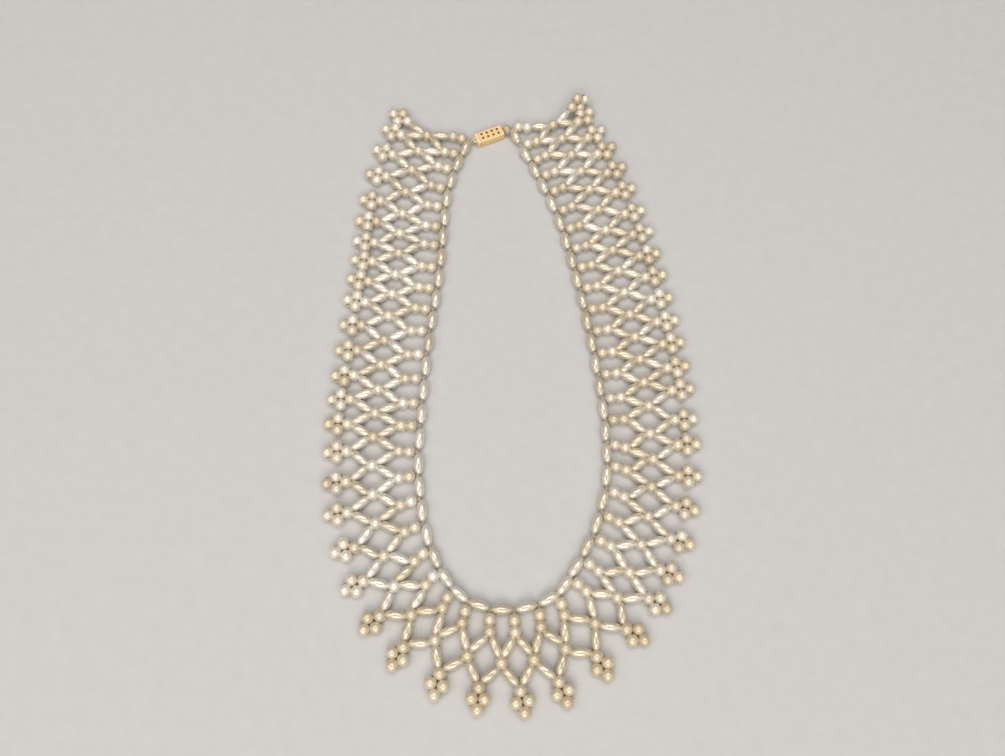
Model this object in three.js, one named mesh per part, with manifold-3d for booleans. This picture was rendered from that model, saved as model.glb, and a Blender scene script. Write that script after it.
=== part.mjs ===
// A netted bib necklace of imitation pearls, laid flat, in millimetres.
// +Z is up, the clasp is towards +Y, the front of the collar towards -Y, and Z = 0 is what it lies on.
// The origin is the middle of its footprint.
// The neck string carries fifty legs of two round beads. Rice beads run from leg to leg in two rows
// that cross in a round bead, and each rib of the net ends in a picot, four round beads in a diamond.

import * as THREE from 'three';
import { ConvexGeometry } from 'three/addons/geometries/ConvexGeometry.js';
import { mergeVertices } from 'three/addons/utils/BufferGeometryUtils.js';
import Module from 'manifold-3d';

const wasm = await Module();
wasm.setup();

// Beads. A round bead is shorter along its hole than across it.
const ROUND_DIAMETER = 4.0;
const ROUND_LENGTH = 3.5;
const RICE_LENGTH = 6.6;
const RICE_DIAMETER = 3.2;
// Bare thread between neighbouring beads
const STRING_GAP = 1.32;
const PICOT_GAP = 0.3;
const PICOT_SIDE_GAP = 0.1;
const LEG_STANDOFF = 1.3;
// How far the tip of a rice bead sinks into the mouth of a round bead's hole
const LINK_SINK = 0.1;
// Half the width of the flat on which two beads meet round the thread
const FLAT_RADIUS = 0.5;
// Clearance between pieces that are separate solids
const CLEARANCE = 0.3;
// Box clasp, with its tongue's end plate on the left and a lug for the thread on the plate
const CLASP_LENGTH = 11.2;
const CLASP_WIDTH = 4.8;
const CLASP_HEIGHT = 3.0;
const CLASP_BEVEL = 0.5;
const PLATE_THICKNESS = 1.2;
const LUG_LENGTH = 1.2;
const LUG_WIDTH = 2.2;
const LUG_THICKNESS = 1.0;
const LUG_HOLE = 1.0;
const LUG_SEGMENTS = 6;
// Pierced dots of the clasp's lid
const DOT_DIAMETER = 0.8;
const DOT_DEPTH = 0.5;
const DOT_ROWS = 2;
const DOTS_PER_ROW = 4;
const DOT_PITCH = 2.1;
const DOT_ROW_PITCH = 1.75;
// How far the dots lie from the clasp's middle, towards the right end of the string
const DOT_SHIFT = 0.3;
const DOT_SIDES = 6;
// Clouded bead that covers the knot on the right
const END_BEAD_LENGTH = 2.5;
const END_BEAD_WIDTH = 4.4;
const END_BEAD_HEIGHT = 3.2;
const END_BEAD_SIDES = 10;
const END_BEAD_RINGS = 6;
// How far the clasp lies inside the line between the ends of the string, and towards its left end
const CLASP_SET_IN = 0.7;
const CLASP_SHIFT = 0.6;

// The neck string as it lies, from the left end of the clasp round the front to the right end.
// rib: which leg hangs there. x, y: the string's place. leg, picot: how many degrees the leg and the
// picot lean, counter-clockwise, from the outward square of the string.
const NECK_ROUTE = [
  { rib: 1, x: -21.5, y: 89.9, leg: 9, picot: -6 },
  { rib: 2, x: -24.1, y: 83.2, leg: 8, picot: -1 },
  { rib: 4, x: -28.1, y: 68.2, leg: -5, picot: 3 },
  { rib: 7, x: -28.7, y: 44.6, leg: -5, picot: 0 },
  { rib: 9, x: -29.1, y: 27.9, leg: 0, picot: -2 },
  { rib: 11, x: -30.5, y: 11.8, leg: 6, picot: 6 },
  { rib: 13, x: -31.1, y: -5.6, leg: 6, picot: 6 },
  { rib: 15, x: -31.1, y: -22.4, leg: 3, picot: 3 },
  { rib: 16, x: -31.1, y: -31.6, leg: -5, picot: 4 },
  { rib: 18, x: -29.3, y: -46.8, leg: 12, picot: 2 },
  { rib: 19, x: -27.5, y: -54.8, leg: 10, picot: 2 },
  { rib: 20, x: -24.8, y: -62.1, leg: 21, picot: 6 },
  { rib: 21, x: -21.3, y: -68.7, leg: 20, picot: 12 },
  { rib: 22, x: -17.1, y: -74.4, leg: 23, picot: 16 },
  { rib: 23, x: -11.7, y: -78.2, leg: 14, picot: 15 },
  { rib: 24, x: -4.7, y: -80.3, leg: 11, picot: 7 },
  { rib: 25, x: 2.9, y: -80.2, leg: -2, picot: 6 },
  { rib: 26, x: 10.7, y: -78.2, leg: -15, picot: 3 },
  { rib: 27, x: 16.9, y: -74.6, leg: -27, picot: -10 },
  { rib: 28, x: 20.4, y: -69.3, leg: -8, picot: 2 },
  { rib: 30, x: 27.3, y: -56.0, leg: -6, picot: 4 },
  { rib: 32, x: 31.5, y: -40.2, leg: -17, picot: -3 },
  { rib: 34, x: 31.5, y: -24.8, leg: -16, picot: 2 },
  { rib: 35, x: 30.9, y: -17.3, leg: 0, picot: -1 },
  { rib: 37, x: 28.3, y: -1.2, leg: -2, picot: -1 },
  { rib: 40, x: 23.4, y: 22.5, leg: 0, picot: -5 },
  { rib: 43, x: 17.3, y: 45.7, leg: 4, picot: -2 },
  { rib: 45, x: 12.3, y: 60.6, leg: 8, picot: -4 },
  { rib: 47, x: 5.3, y: 75.4, leg: -2, picot: 6 },
  { rib: 48, x: 2.1, y: 81.4, leg: 4, picot: 6 },
  { rib: 49, x: -2.2, y: 88.6, leg: -8, picot: 18 },
  { rib: 50, x: -6.3, y: 97.1, leg: -27, picot: 13 },
];
// Lean of the last link of the first and the last rib, which have no neighbour on one side
const END_LEAN = { first: -15, last: 20 };
// The last picot is crowded by its neighbour and lies rolled on edge, by so many degrees
const LAST_PICOT_ROLL = 60;
// The net is strung as one field; its two halves meet between these ribs
const LAST_LEFT_RIB = 24;

const UP = new THREE.Vector3(0, 0, 1);
const R = ROUND_DIAMETER / 2;
const HALF_LENGTH = ROUND_LENGTH / 2;
const RIBS = NECK_ROUTE.at(-1).rib;
const LINK = ROUND_LENGTH + RICE_LENGTH - 2 * LINK_SINK;

const pearl = new THREE.MeshStandardMaterial({ color: 0xe9dfc6, roughness: 0.28, metalness: 0.0 });
const ricePearl = new THREE.MeshStandardMaterial({ color: 0xe4dcca, roughness: 0.25, metalness: 0.05 });
const gilt = new THREE.MeshStandardMaterial({ color: 0xd9ab5c, roughness: 0.35, metalness: 0.9 });
const blush = new THREE.MeshStandardMaterial({ color: 0xcdb3a6, roughness: 0.4, metalness: 0.0 });

// Directions and turns in the plane
const radians = THREE.MathUtils.degToRad;
const turned = (v, degrees, axis = UP) => v.clone().applyAxisAngle(axis, radians(degrees));
const between = (a, b, share = 0.5) => a.clone().lerp(b, share);
const direction = (from, to) => to.clone().sub(from).normalize();
const along = (from, dir, distance) => from.clone().addScaledVector(dir, distance);

// Where two links of one length, hung from a and b, meet on the side that outward points to
function crossing(a, b, length, outward) {
  const half = a.distanceTo(b) / 2;
  const across = direction(a, b).cross(UP);
  const side = across.dot(outward) < 0 ? -1 : 1;
  const height = Math.sqrt(Math.max(length * length - half * half, 0));
  return along(between(a, b), across, side * height);
}

// The neck string at each rib: its place, the outward square, and the leans of leg and picot
function stringNodes() {
  const chosen = NECK_ROUTE.map((row) => new THREE.Vector3(row.x, row.y, R));
  const curve = new THREE.CatmullRomCurve3(chosen, false, 'centripetal');
  const spans = NECK_ROUTE.length - 1;
  const scale = ((RIBS - 1) * (RICE_LENGTH + STRING_GAP)) / curve.getLength();
  const nodes = [];
  for (let k = 0; k < spans; k++) {
    const from = NECK_ROUTE[k];
    const to = NECK_ROUTE[k + 1];
    const last = k === spans - 1 ? to.rib : to.rib - 1;
    for (let rib = from.rib; rib <= last; rib++) {
      const share = (rib - from.rib) / (to.rib - from.rib);
      const t = (k + share) / spans;
      const place = curve.getPoint(t);
      place.x *= scale;
      place.y *= scale;
      nodes.push({
        place,
        outward: curve.getTangent(t).cross(UP).normalize(),
        leg: THREE.MathUtils.lerp(from.leg, to.leg, share),
        picot: THREE.MathUtils.lerp(from.picot, to.picot, share),
      });
    }
  }
  return nodes;
}

const nodes = stringNodes();

// Round beads of the net, each with its place, the way its hole points and its half of the net
function layNet() {
  const ribs = nodes.map((node, i) => {
    const out = turned(node.outward, node.leg);
    const half = i < LAST_LEFT_RIB ? 'left' : 'right';
    const inner = { at: along(node.place, out, LEG_STANDOFF + HALF_LENGTH), hole: out, half };
    const outer = { at: along(inner.at, out, ROUND_LENGTH), hole: out, half };
    return { half, inner, outer, picotWay: turned(node.outward, node.picot) };
  });
  const crossings = [];
  for (let i = 0; i + 1 < ribs.length; i++) {
    const outward = ribs[i].outer.hole.clone().add(ribs[i + 1].outer.hole);
    const at = crossing(ribs[i].outer.at, ribs[i + 1].outer.at, LINK, outward);
    crossings.push({ at, hole: outward.normalize(), half: ribs[i].half });
  }
  ribs.forEach((rib, i) => {
    const before = crossings[i - 1];
    const after = crossings[i];
    let top;
    if (before && after) top = crossing(before.at, after.at, LINK, rib.picotWay);
    else if (after) top = along(after.at, turned(nodes[i].outward, END_LEAN.first), LINK);
    else top = along(before.at, turned(nodes[i].outward, END_LEAN.last), LINK);
    rib.top = { at: top, hole: rib.picotWay, half: rib.half };
  });
  return { ribs, crossings };
}

const net = layNet();

// A flat of three corners round the thread, square to the way that it faces
function flat(centre, way) {
  const side = UP.clone().cross(way).normalize();
  const tall = way.clone().cross(side);
  return [90, 210, 330].map((degrees) =>
    along(along(centre, side, FLAT_RADIUS * Math.cos(radians(degrees))),
      tall, FLAT_RADIUS * Math.sin(radians(degrees))));
}

// A round bead: two rings of five corners, staggered, with ten sides seen from above, and its flats
const RING_SIDES = 5;
const RING_HEIGHT = 0.45 * R;
const FLAT_SPREAD = 32;
function roundCell(bead) {
  const points = [along(bead.at, UP, R), along(bead.at, UP, -R)];
  for (let k = 0; k < 2 * RING_SIDES; k++) {
    const way = turned(bead.hole, (k + 0.5) * 180 / RING_SIDES);
    const hidden = bead.ways.some((other) => way.angleTo(other) < radians(FLAT_SPREAD));
    if (!hidden) points.push(along(along(bead.at, way, R), UP, k % 2 ? -RING_HEIGHT : RING_HEIGHT));
  }
  return [...points, ...bead.flats.flat()];
}

// A rice bead between its two end flats, with two rings of five corners round its belly
const BELLY_SHARE = 0.17;
function riceCell(from, to, fromFlat, toFlat) {
  const way = direction(from, to);
  const side = UP.clone().cross(way).normalize();
  const tall = way.clone().cross(side);
  const points = [...fromFlat, ...toFlat];
  for (let k = 0; k < 2 * RING_SIDES; k++) {
    const angle = radians(90 + k * 180 / RING_SIDES);
    const ring = along(between(from, to), way, (k % 2 ? -1 : 1) * BELLY_SHARE * RICE_LENGTH);
    points.push(along(along(ring, side, RICE_DIAMETER / 2 * Math.cos(angle)),
      tall, RICE_DIAMETER / 2 * Math.sin(angle)));
  }
  return points;
}

// Solids and meshes. Corners closer than the weld distance are one corner.
const WELD = 1e-5;
function solid(geometry) {
  const bare = geometry.clone();
  bare.deleteAttribute('normal');
  bare.deleteAttribute('uv');
  const merged = mergeVertices(bare, WELD);
  return new wasm.Manifold(new wasm.Mesh({
    numProp: 3,
    vertProperties: new Float32Array(merged.attributes.position.array),
    triVerts: new Uint32Array(merged.index.array),
  }));
}

// Joins solids two by two, so that each join stays small
function joined(solids) {
  let rest = solids;
  while (rest.length > 1) {
    const next = [];
    for (let i = 0; i < rest.length; i += 2) {
      next.push(i + 1 < rest.length ? rest[i].add(rest[i + 1]) : rest[i]);
    }
    rest = next;
  }
  return rest[0];
}

function mesh(name, body, material) {
  const data = body.getMesh();
  const geometry = new THREE.BufferGeometry();
  geometry.setAttribute('position', new THREE.BufferAttribute(data.vertProperties, 3));
  geometry.setIndex(new THREE.BufferAttribute(data.triVerts, 1));
  geometry.computeVertexNormals();
  const made = new THREE.Mesh(geometry, material);
  made.name = name;
  return made;
}

const cells = { left: [], right: [] };

// A flat on a round bead, where something meets it
function end(bead, at, way, corners = flat(at, way)) {
  bead.flats.push(corners);
  bead.ways.push(way);
  return corners;
}

// Two round beads that touch share one flat
function meet(a, b) {
  const way = direction(a.at, b.at);
  const middle = between(a.at, b.at);
  end(b, middle, way.clone().negate(), end(a, middle, way));
}

// The end of a rice bead on a round bead. It leaves near the hole, on the side of its far end.
const HOLE_SHARE = 0.7;
const LEAST_SPREAD = 22;
function tip(bead, farBead, sense, half) {
  const hole = bead.hole.clone().multiplyScalar(sense);
  const to = direction(bead.at, farBead.at);
  const angle = THREE.MathUtils.radToDeg(hole.angleTo(to));
  const turn = Math.sign(hole.clone().cross(to).z) || 1;
  const spread = Math.max(HOLE_SHARE * angle, LEAST_SPREAD);
  const way = turned(hole, turn * spread);
  way.z = to.z;
  way.normalize();
  const reach = Math.min(R, HALF_LENGTH / Math.cos(radians(spread)));
  if (bead.half === half) {
    const at = along(bead.at, way, reach);
    const corners = end(bead, at, way);
    return { at, corners };
  }
  const clear = along(bead.at, way, reach + CLEARANCE);
  return { at: clear, corners: flat(clear, way) };
}

function link(inner, outer, half) {
  const start = tip(inner, outer, 1, half);
  const end = tip(outer, inner, -1, half);
  cells[half].push(riceCell(start.at, end.at, start.corners, end.corners));
}

const allBeads = [];
const bead = (spec) => {
  Object.assign(spec, { flats: [], ways: [] });
  allBeads.push(spec);
  return spec;
};

net.crossings.forEach(bead);
net.ribs.forEach((rib, i) => {
  const last = i === net.ribs.length - 1;
  const roll = last ? LAST_PICOT_ROLL : 0;
  const reach = ROUND_LENGTH + PICOT_GAP;
  const halfWidth = (ROUND_DIAMETER + PICOT_SIDE_GAP) / 2;
  const halfReach = Math.sqrt(reach * reach - halfWidth * halfWidth);
  const way = rib.picotWay;
  rib.top.at.z += halfWidth * Math.sin(radians(roll));
  const side = turned(UP.clone().cross(way), roll, way);
  const middle = along(rib.top.at, way, halfReach);
  const { half } = rib;
  [rib.inner, rib.outer, rib.top].forEach(bead);
  rib.sides = [1, -1].map((s) => bead({ at: along(middle, side, s * halfWidth), hole: way, half }));
  rib.end = bead({ at: along(middle, way, halfReach), hole: way, half });
});

net.ribs.forEach((rib, i) => {
  const before = net.crossings[i - 1];
  const after = net.crossings[i];
  const inward = rib.inner.hole.clone().negate();
  end(rib.inner, along(rib.inner.at, inward, HALF_LENGTH), inward);
  meet(rib.inner, rib.outer);
  rib.sides.forEach((s) => {
    meet(rib.top, s);
    meet(s, rib.end);
  });
  [before, after].filter(Boolean).forEach((m) => {
    link(rib.outer, m, m.half);
    link(m, rib.top, m.half);
  });
});
allBeads.forEach((b) => cells[b.half].push(roundCell(b)));

const group = new THREE.Group();
for (const half of ['left', 'right']) {
  const body = joined(cells[half].map((points) => solid(new ConvexGeometry(points))));
  group.add(mesh(`net_${half}`, body, pearl));
}

// The clasp's own frame: X along it, from the left end of the string to the right end
const leftEnd = nodes[0].place;
const rightEnd = nodes.at(-1).place;
const claspWay = direction(leftEnd, rightEnd);
const clasp = new THREE.Group();
const claspMiddle = along(between(leftEnd, rightEnd), claspWay, -CLASP_SHIFT);
clasp.position.copy(along(claspMiddle, claspWay.clone().cross(UP), CLASP_SET_IN));
clasp.position.z = 0;
clasp.rotation.z = Math.atan2(claspWay.y, claspWay.x);

// A bevelled block that stands on Z = 0, between two places along the clasp
function bevelled(fromX, toX) {
  const halfWidth = CLASP_WIDTH / 2;
  const c = Math.min(CLASP_BEVEL, (toX - fromX) / 4);
  const outline = new THREE.Shape([
    [fromX, -halfWidth + c], [fromX + c, -halfWidth], [toX - c, -halfWidth], [toX, -halfWidth + c],
    [toX, halfWidth - c], [toX - c, halfWidth], [fromX + c, halfWidth], [fromX, halfWidth - c],
  ].map(([x, y]) => new THREE.Vector2(x, y)));
  const geometry = new THREE.ExtrudeGeometry(outline, {
    depth: CLASP_HEIGHT - 2 * c, bevelThickness: c, bevelSize: c, bevelOffset: -c, bevelSegments: 1,
  });
  return solid(geometry.translate(0, 0, c));
}

// The end bead's and the lug's far ends, along the clasp
const boxEnd = CLASP_LENGTH / 2;
const lugEnd = -CLASP_LENGTH / 2 - LUG_LENGTH;
const endBeadStart = boxEnd + CLEARANCE;

function claspBox() {
  const start = -CLASP_LENGTH / 2 + PLATE_THICKNESS + CLEARANCE;
  const body = bevelled(start, boxEnd);
  const dots = [];
  for (let row = 0; row < DOT_ROWS; row++) {
    for (let k = 0; k < DOTS_PER_ROW; k++) {
      const x = DOT_SHIFT + (k - (DOTS_PER_ROW - 1) / 2) * DOT_PITCH;
      const y = (row - (DOT_ROWS - 1) / 2) * DOT_ROW_PITCH;
      const round = DOT_DIAMETER / 2;
      const drill = new THREE.CylinderGeometry(round, round, 2 * DOT_DEPTH, DOT_SIDES);
      dots.push(solid(drill.rotateX(Math.PI / 2).translate(x, y, CLASP_HEIGHT)));
    }
  }
  return dots.reduce((rest, dot) => rest.subtract(dot), body);
}

// The tongue's end plate and, fused to it, the lug that the thread loops through
function claspTongue() {
  const plateStart = -CLASP_LENGTH / 2;
  const plate = bevelled(plateStart, plateStart + PLATE_THICKNESS);
  const round = LUG_WIDTH / 2;
  const centre = lugEnd + round;
  const outline = new THREE.Shape();
  outline.moveTo(plateStart + PLATE_THICKNESS / 2, -round);
  outline.lineTo(plateStart + PLATE_THICKNESS / 2, round);
  outline.lineTo(centre, round);
  outline.absarc(centre, 0, round, Math.PI / 2, 3 * Math.PI / 2, false);
  outline.closePath();
  const hole = new THREE.Path().absarc(centre, 0, LUG_HOLE / 2, 0, 2 * Math.PI, true);
  outline.holes.push(hole);
  const lug = new THREE.ExtrudeGeometry(outline, {
    depth: LUG_THICKNESS, bevelEnabled: false, curveSegments: LUG_SEGMENTS,
  });
  return plate.add(solid(lug.translate(0, 0, R - LUG_THICKNESS / 2)));
}

function endBead() {
  const oval = new THREE.SphereGeometry(1 / 2, END_BEAD_SIDES, END_BEAD_RINGS);
  oval.rotateX(Math.PI / 2).rotateY(Math.PI / 2);
  oval.scale(END_BEAD_LENGTH, END_BEAD_WIDTH, END_BEAD_HEIGHT);
  return solid(oval.translate(endBeadStart + END_BEAD_LENGTH / 2, 0, R));
}

clasp.add(mesh('clasp_box', claspBox(), gilt));
clasp.add(mesh('clasp_tongue', claspTongue(), gilt));
clasp.add(mesh('end_bead', endBead(), blush));
group.add(clasp);
clasp.updateMatrix();

// The neck string: a rice bead on each span, the thread between their ends, and its two free ends,
// which reach to the lug and to the end bead
const onClasp = (x) => new THREE.Vector3(x, 0, R).applyMatrix4(clasp.matrix);
const lugTip = onClasp(lugEnd - CLEARANCE);
const knot = onClasp(endBeadStart + END_BEAD_LENGTH + CLEARANCE);
const stringCells = [];
let lastFlat = null;
for (let i = 0; i + 1 < nodes.length; i++) {
  const a = nodes[i].place;
  const b = nodes[i + 1].place;
  const way = direction(a, b);
  const middle = between(a, b);
  const start = along(middle, way, -RICE_LENGTH / 2);
  const end = along(middle, way, RICE_LENGTH / 2);
  const startFlat = flat(start, way);
  const endFlat = flat(end, way);
  stringCells.push([...(lastFlat ?? flat(lugTip, direction(lugTip, start))), ...startFlat]);
  stringCells.push(riceCell(start, end, startFlat, endFlat));
  lastFlat = endFlat;
}
stringCells.push([...lastFlat, ...flat(knot, claspWay.clone().negate())]);
const string = joined(stringCells.map((points) => solid(new ConvexGeometry(points))));
group.add(mesh('neck_string', string, ricePearl));

export default group;
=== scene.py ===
# %% [markdown]
# # A netted bib necklace of imitation pearls
# The necklace lies flat and fastened. Some six hundred lacquered beads hang on a neck string as an open
# net. The solids already hold every bead's place. This lesson dresses them: turned and drilled beads, the
# twisted thread that shows between them, a gilt box clasp, and the pearl lacquer itself.

import math

import bmesh
import bpy
import numpy as np
from mathutils import Matrix, Vector


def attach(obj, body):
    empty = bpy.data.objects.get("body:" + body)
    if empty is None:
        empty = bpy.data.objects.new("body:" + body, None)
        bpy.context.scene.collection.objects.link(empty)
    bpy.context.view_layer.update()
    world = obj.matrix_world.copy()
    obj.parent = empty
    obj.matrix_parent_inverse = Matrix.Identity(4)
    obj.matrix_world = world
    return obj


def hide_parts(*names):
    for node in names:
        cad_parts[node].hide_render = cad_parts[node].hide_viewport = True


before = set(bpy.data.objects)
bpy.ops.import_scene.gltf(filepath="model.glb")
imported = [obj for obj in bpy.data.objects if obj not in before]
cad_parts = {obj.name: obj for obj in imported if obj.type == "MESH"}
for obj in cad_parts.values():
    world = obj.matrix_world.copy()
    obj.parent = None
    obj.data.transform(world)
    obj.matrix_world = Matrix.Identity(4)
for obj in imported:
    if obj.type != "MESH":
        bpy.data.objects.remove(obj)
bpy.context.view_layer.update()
MM = 0.001
print("solids:", sorted(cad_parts))

# %% [markdown]
# ## The camera
# The picture was taken from just in front of the collar, a quarter of a metre above it and nearly
# straight down. A wide lens so close makes the far end look small. The place and tilt below were fitted
# to the beads, so the render can be laid over the picture.

# %% Camera
CAMERA_PLACE = Vector((-4.4, -82.2, 250.5)) * MM
CAMERA_TILT = 0.304
CAMERA_ROLL = 0.051
CAMERA_LENS = 27.08

camera_data = bpy.data.cameras.new("camera")
camera_data.lens = CAMERA_LENS
camera_data.sensor_width = 36
camera_data.clip_start = 0.01
camera = bpy.data.objects.new("camera", camera_data)
bpy.context.scene.collection.objects.link(camera)
camera.matrix_world = (
    Matrix.Translation(CAMERA_PLACE)
    @ Matrix.Rotation(CAMERA_TILT, 4, "X")
    @ Matrix.Rotation(CAMERA_ROLL, 4, "Z")
)
bpy.context.scene.camera = camera
print("camera height, mm:", round(CAMERA_PLACE.z / MM))

# %% [markdown]
# ## Where the beads lie
# A net like this is strung, not drawn. The neck string sets fifty places, one for each leg. Every other
# bead follows from the lengths of the beads: two links of one length, hung from two neighbours, meet in
# one point. So the layout is a short table and a few steps of plane geometry, and it lands every bead on
# its solid.

# %% Sizes of the beads and the bare thread between them
ROUND_DIAMETER = 4.0 * MM
ROUND_LENGTH = 3.5 * MM
RICE_LENGTH = 6.6 * MM
RICE_DIAMETER = 3.2 * MM
STRING_GAP = 1.32 * MM
PICOT_GAP = 0.3 * MM
PICOT_SIDE_GAP = 0.1 * MM
LEG_STANDOFF = 1.3 * MM
LINK_SINK = 0.1 * MM
R = ROUND_DIAMETER / 2
HALF_LENGTH = ROUND_LENGTH / 2
LINK = ROUND_LENGTH + RICE_LENGTH - 2 * LINK_SINK
UP = Vector((0, 0, 1))

# rib, x and y in millimetres, and how many degrees the leg and the picot lean
NECK_ROUTE = [
    (1, -21.5, 89.9, 9, -6),
    (2, -24.1, 83.2, 8, -1),
    (4, -28.1, 68.2, -5, 3),
    (7, -28.7, 44.6, -5, 0),
    (9, -29.1, 27.9, 0, -2),
    (11, -30.5, 11.8, 6, 6),
    (13, -31.1, -5.6, 6, 6),
    (15, -31.1, -22.4, 3, 3),
    (16, -31.1, -31.6, -5, 4),
    (18, -29.3, -46.8, 12, 2),
    (19, -27.5, -54.8, 10, 2),
    (20, -24.8, -62.1, 21, 6),
    (21, -21.3, -68.7, 20, 12),
    (22, -17.1, -74.4, 23, 16),
    (23, -11.7, -78.2, 14, 15),
    (24, -4.7, -80.3, 11, 7),
    (25, 2.9, -80.2, -2, 6),
    (26, 10.7, -78.2, -15, 3),
    (27, 16.9, -74.6, -27, -10),
    (28, 20.4, -69.3, -8, 2),
    (30, 27.3, -56.0, -6, 4),
    (32, 31.5, -40.2, -17, -3),
    (34, 31.5, -24.8, -16, 2),
    (35, 30.9, -17.3, 0, -1),
    (37, 28.3, -1.2, -2, -1),
    (40, 23.4, 22.5, 0, -5),
    (43, 17.3, 45.7, 4, -2),
    (45, 12.3, 60.6, 8, -4),
    (47, 5.3, 75.4, -2, 6),
    (48, 2.1, 81.4, 4, 6),
    (49, -2.2, 88.6, -8, 18),
    (50, -6.3, 97.1, -27, 13),
]
END_LEAN_FIRST = -15
END_LEAN_LAST = 20
LAST_PICOT_ROLL = 60
LAST_LEFT_RIB = 24
RIBS = NECK_ROUTE[-1][0]
print("neck string, mm:", round((RIBS - 1) * (RICE_LENGTH + STRING_GAP) / MM))


# %% The neck string as a smooth curve through the chosen places
def turned(way, degrees, axis=UP):
    return Matrix.Rotation(math.radians(degrees), 3, axis) @ way


def curve_parts(k):
    """The four numbers of one span of a curve through the route: it slows down where the places are close."""
    places = [Vector((x, y, 0)) * MM for _, x, y, _, _ in NECK_ROUTE]
    places = [2 * places[0] - places[1], *places, 2 * places[-1] - places[-2]]
    a, b, c, d = places[k : k + 4]
    ab, bc, cd = (math.sqrt((q - p).length) for p, q in ((a, b), (b, c), (c, d)))
    start = ((b - a) / ab - (c - a) / (ab + bc) + (c - b) / bc) * bc
    end = ((c - b) / bc - (d - b) / (bc + cd) + (d - c) / cd) * bc
    return b, start, 3 * (c - b) - 2 * start - end, 2 * (b - c) + start + end


def on_curve(t):
    """The place and the way ahead at t, which runs from 0 to 1 over all the spans."""
    spans = len(NECK_ROUTE) - 1
    k = min(int(t * spans), spans - 1)
    s = t * spans - k
    p, q, r, w = curve_parts(k)
    return p + q * s + r * s**2 + w * s**3, (q + 2 * r * s + 3 * w * s**2).normalized()


STEPS = 200
walked = [on_curve(i / STEPS)[0] for i in range(STEPS + 1)]
drawn_length = sum((b - a).length for a, b in zip(walked, walked[1:]))
stretch = (RIBS - 1) * (RICE_LENGTH + STRING_GAP) / drawn_length

nodes = []
for k, (row, after) in enumerate(zip(NECK_ROUTE, NECK_ROUTE[1:])):
    last = after[0] if k == len(NECK_ROUTE) - 2 else after[0] - 1
    for rib in range(row[0], last + 1):
        share = (rib - row[0]) / (after[0] - row[0])
        place, ahead = on_curve((k + share) / (len(NECK_ROUTE) - 1))
        nodes.append({
            "place": Vector((place.x * stretch, place.y * stretch, R)),
            "outward": ahead.cross(UP).normalized(),
            "leg": row[3] + (after[3] - row[3]) * share,
            "picot": row[4] + (after[4] - row[4]) * share,
        })
print("places on the string:", len(nodes), "stretched by", round(stretch, 4))


# %% The net that hangs on it
def crossing(a, b, outward):
    """Where two links, hung from a and b, meet on the side that outward points to."""
    half = (b - a).length / 2
    across = (b - a).normalized().cross(UP)
    if across.dot(outward) < 0:
        across.negate()
    return (a + b) / 2 + across * math.sqrt(max(LINK**2 - half**2, 0))


def bead(at, hole, half):
    return {"at": at, "hole": hole.normalized(), "half": half}


ribs = []
for i, node in enumerate(nodes):
    out = turned(node["outward"], node["leg"])
    half = "left" if i < LAST_LEFT_RIB else "right"
    inner = bead(node["place"] + out * (LEG_STANDOFF + HALF_LENGTH), out, half)
    outer = bead(inner["at"] + out * ROUND_LENGTH, out, half)
    ribs.append({"inner": inner, "outer": outer, "way": turned(node["outward"], node["picot"]), "half": half})

crossings = []
for one, two in zip(ribs, ribs[1:]):
    outward = one["outer"]["hole"] + two["outer"]["hole"]
    at = crossing(one["outer"]["at"], two["outer"]["at"], outward)
    crossings.append(bead(at, outward, one["half"]))

for i, rib in enumerate(ribs):
    before = crossings[i - 1] if i else None
    after = crossings[i] if i < len(crossings) else None
    if before and after:
        at = crossing(before["at"], after["at"], rib["way"])
    elif after:
        at = after["at"] + turned(nodes[i]["outward"], END_LEAN_FIRST) * LINK
    else:
        at = before["at"] + turned(nodes[i]["outward"], END_LEAN_LAST) * LINK
    way = rib["way"]
    roll = 0 if after else LAST_PICOT_ROLL
    half_width = (ROUND_DIAMETER + PICOT_SIDE_GAP) / 2
    half_reach = math.sqrt((ROUND_LENGTH + PICOT_GAP) ** 2 - half_width**2)
    at.z += half_width * math.sin(math.radians(roll))
    rib["top"] = bead(at, way, rib["half"])
    rib["across"] = turned(UP.cross(way), roll, way)
    middle = at + way * half_reach
    rib["sides"] = [bead(middle + rib["across"] * s * half_width, way, rib["half"]) for s in (1, -1)]
    rib["end"] = bead(middle + way * half_reach, rib["across"], rib["half"])
rounds = list(crossings)
for rib in ribs:
    rounds += [rib["inner"], rib["outer"], rib["top"], *rib["sides"], rib["end"]]
print("round beads:", len(rounds))

# %% [markdown]
# ## Where the rice beads lie
# The thread leaves a round bead through its drilled hole, so the rice beads that share a hole lean
# together there and spread apart towards their far ends. Each rice bead is given as its middle, its way
# and its half.

# %% Rice beads of the net and of the neck string
HOLE_SHARE = 0.7
LEAST_SPREAD = 22


def tip(bead_here, bead_there, sense):
    """Where a rice bead touches a round bead: near the hole, on the side of its far end."""
    hole = bead_here["hole"] * sense
    to = (bead_there["at"] - bead_here["at"]).normalized()
    angle = math.degrees(hole.angle(to))
    turn = 1 if hole.cross(to).z >= 0 else -1
    spread = max(HOLE_SHARE * angle, LEAST_SPREAD)
    way = turned(hole, turn * spread)
    way.z = to.z
    return bead_here["at"] + way.normalized() * min(R, HALF_LENGTH / math.cos(math.radians(spread)))


rices = []
spans = []


def string_rice(start, end, half):
    way = (end - start).normalized()
    middle = (start + end) / 2
    rices.append({"at": middle, "hole": way, "half": half})
    return middle - way * RICE_LENGTH / 2, middle + way * RICE_LENGTH / 2, way


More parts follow.
